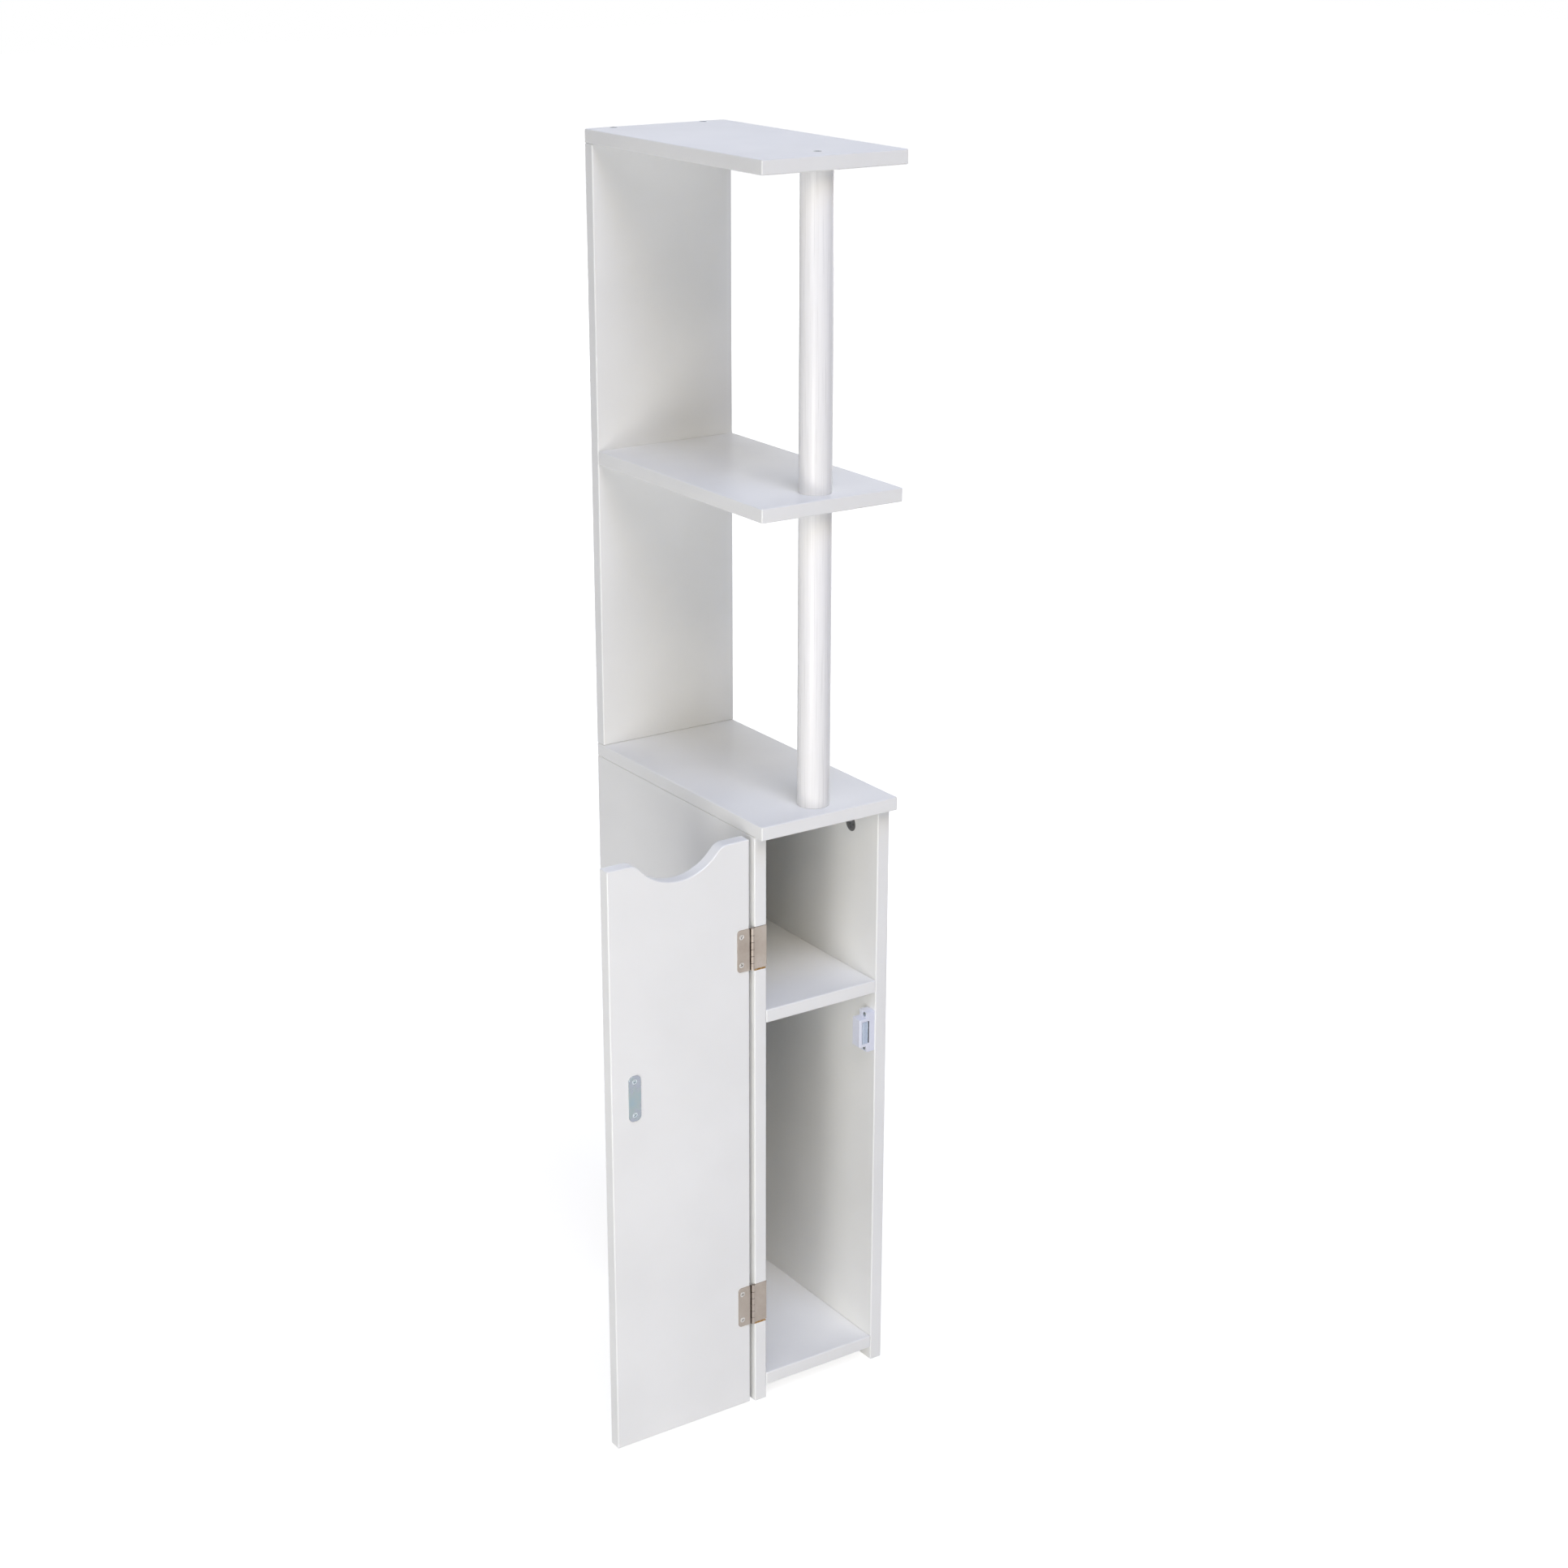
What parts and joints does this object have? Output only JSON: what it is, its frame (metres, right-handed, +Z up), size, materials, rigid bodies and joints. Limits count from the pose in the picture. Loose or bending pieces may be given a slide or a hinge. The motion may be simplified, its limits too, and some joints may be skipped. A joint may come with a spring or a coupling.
{
  "type": "toilet storage cabinet",
  "caption": "Tall narrow white bathroom cabinet: a cupboard with a scooped hinged door and magnetic catch below, open shelves on a back panel and a round front post above.",
  "frame": {"origin": "on the floor below the door's hinge pins, midway through the depth: the middle of the footprint with the door open", "axes": "+Z up, -Y towards the front of the cabinet, +X from the hinge side towards the right side panel"},
  "size_m": [0.3027, 0.29, 1.18],
  "materials": {
    "lacquered_board": "fibreboard with satin white lacquer",
    "white_hardboard": "hardboard with a white painted face",
    "painted_post": "turned wood with satin white paint",
    "nickel_steel": "pressed steel, nickel plated",
    "zinc_steel": "bright zinc plated steel",
    "white_plastic": "moulded white plastic",
    "plated_magnet": "magnet, zinc plated",
    "cast_zinc": "die-cast zinc, dark",
    "beech": "plain beech"
  },
  "bodies": {
    "cabinet": {"left_side_panel": "lacquered_board", "right_side_panel": "lacquered_board", "bottom_board": "lacquered_board", "inner_shelf": "lacquered_board", "cabinet_top": "lacquered_board", "cabinet_back": "white_hardboard", "upper_back_panel": "lacquered_board", "middle_shelf": "lacquered_board", "top_shelf": "lacquered_board", "lower_post": "painted_post", "upper_post": "painted_post", "post_stud": "zinc_steel", "upper_hinge_frame_leaf": "nickel_steel", "upper_hinge_pin": "nickel_steel", "lower_hinge_frame_leaf": "nickel_steel", "lower_hinge_pin": "nickel_steel", "hinge_frame_screws": "nickel_steel", "catch_housing": "white_plastic", "catch_magnet": "plated_magnet", "catch_pole_plates": "zinc_steel", "catch_screws": "zinc_steel", "cam_locks": "cast_zinc", "cam_bolts": "zinc_steel", "alignment_dowels": "beech", "top_shelf_screws": "zinc_steel", "cabinet_top_screws": "zinc_steel", "middle_shelf_screws": "zinc_steel", "bottom_board_screws": "zinc_steel", "inner_shelf_screws": "zinc_steel"},
    "door": {"door": "lacquered_board", "upper_hinge_door_leaf": "nickel_steel", "lower_hinge_door_leaf": "nickel_steel", "hinge_door_screws": "nickel_steel", "strike_plate": "zinc_steel", "strike_screws": "zinc_steel"}
  },
  "joints": [
    {"name": "door_hinge", "type": "hinge", "parent": "cabinet", "child": "door", "pos_m": [0, -0.1327, 0.291], "axis": [0, 0, 1], "range_deg": [-15, 180]}
  ]
}
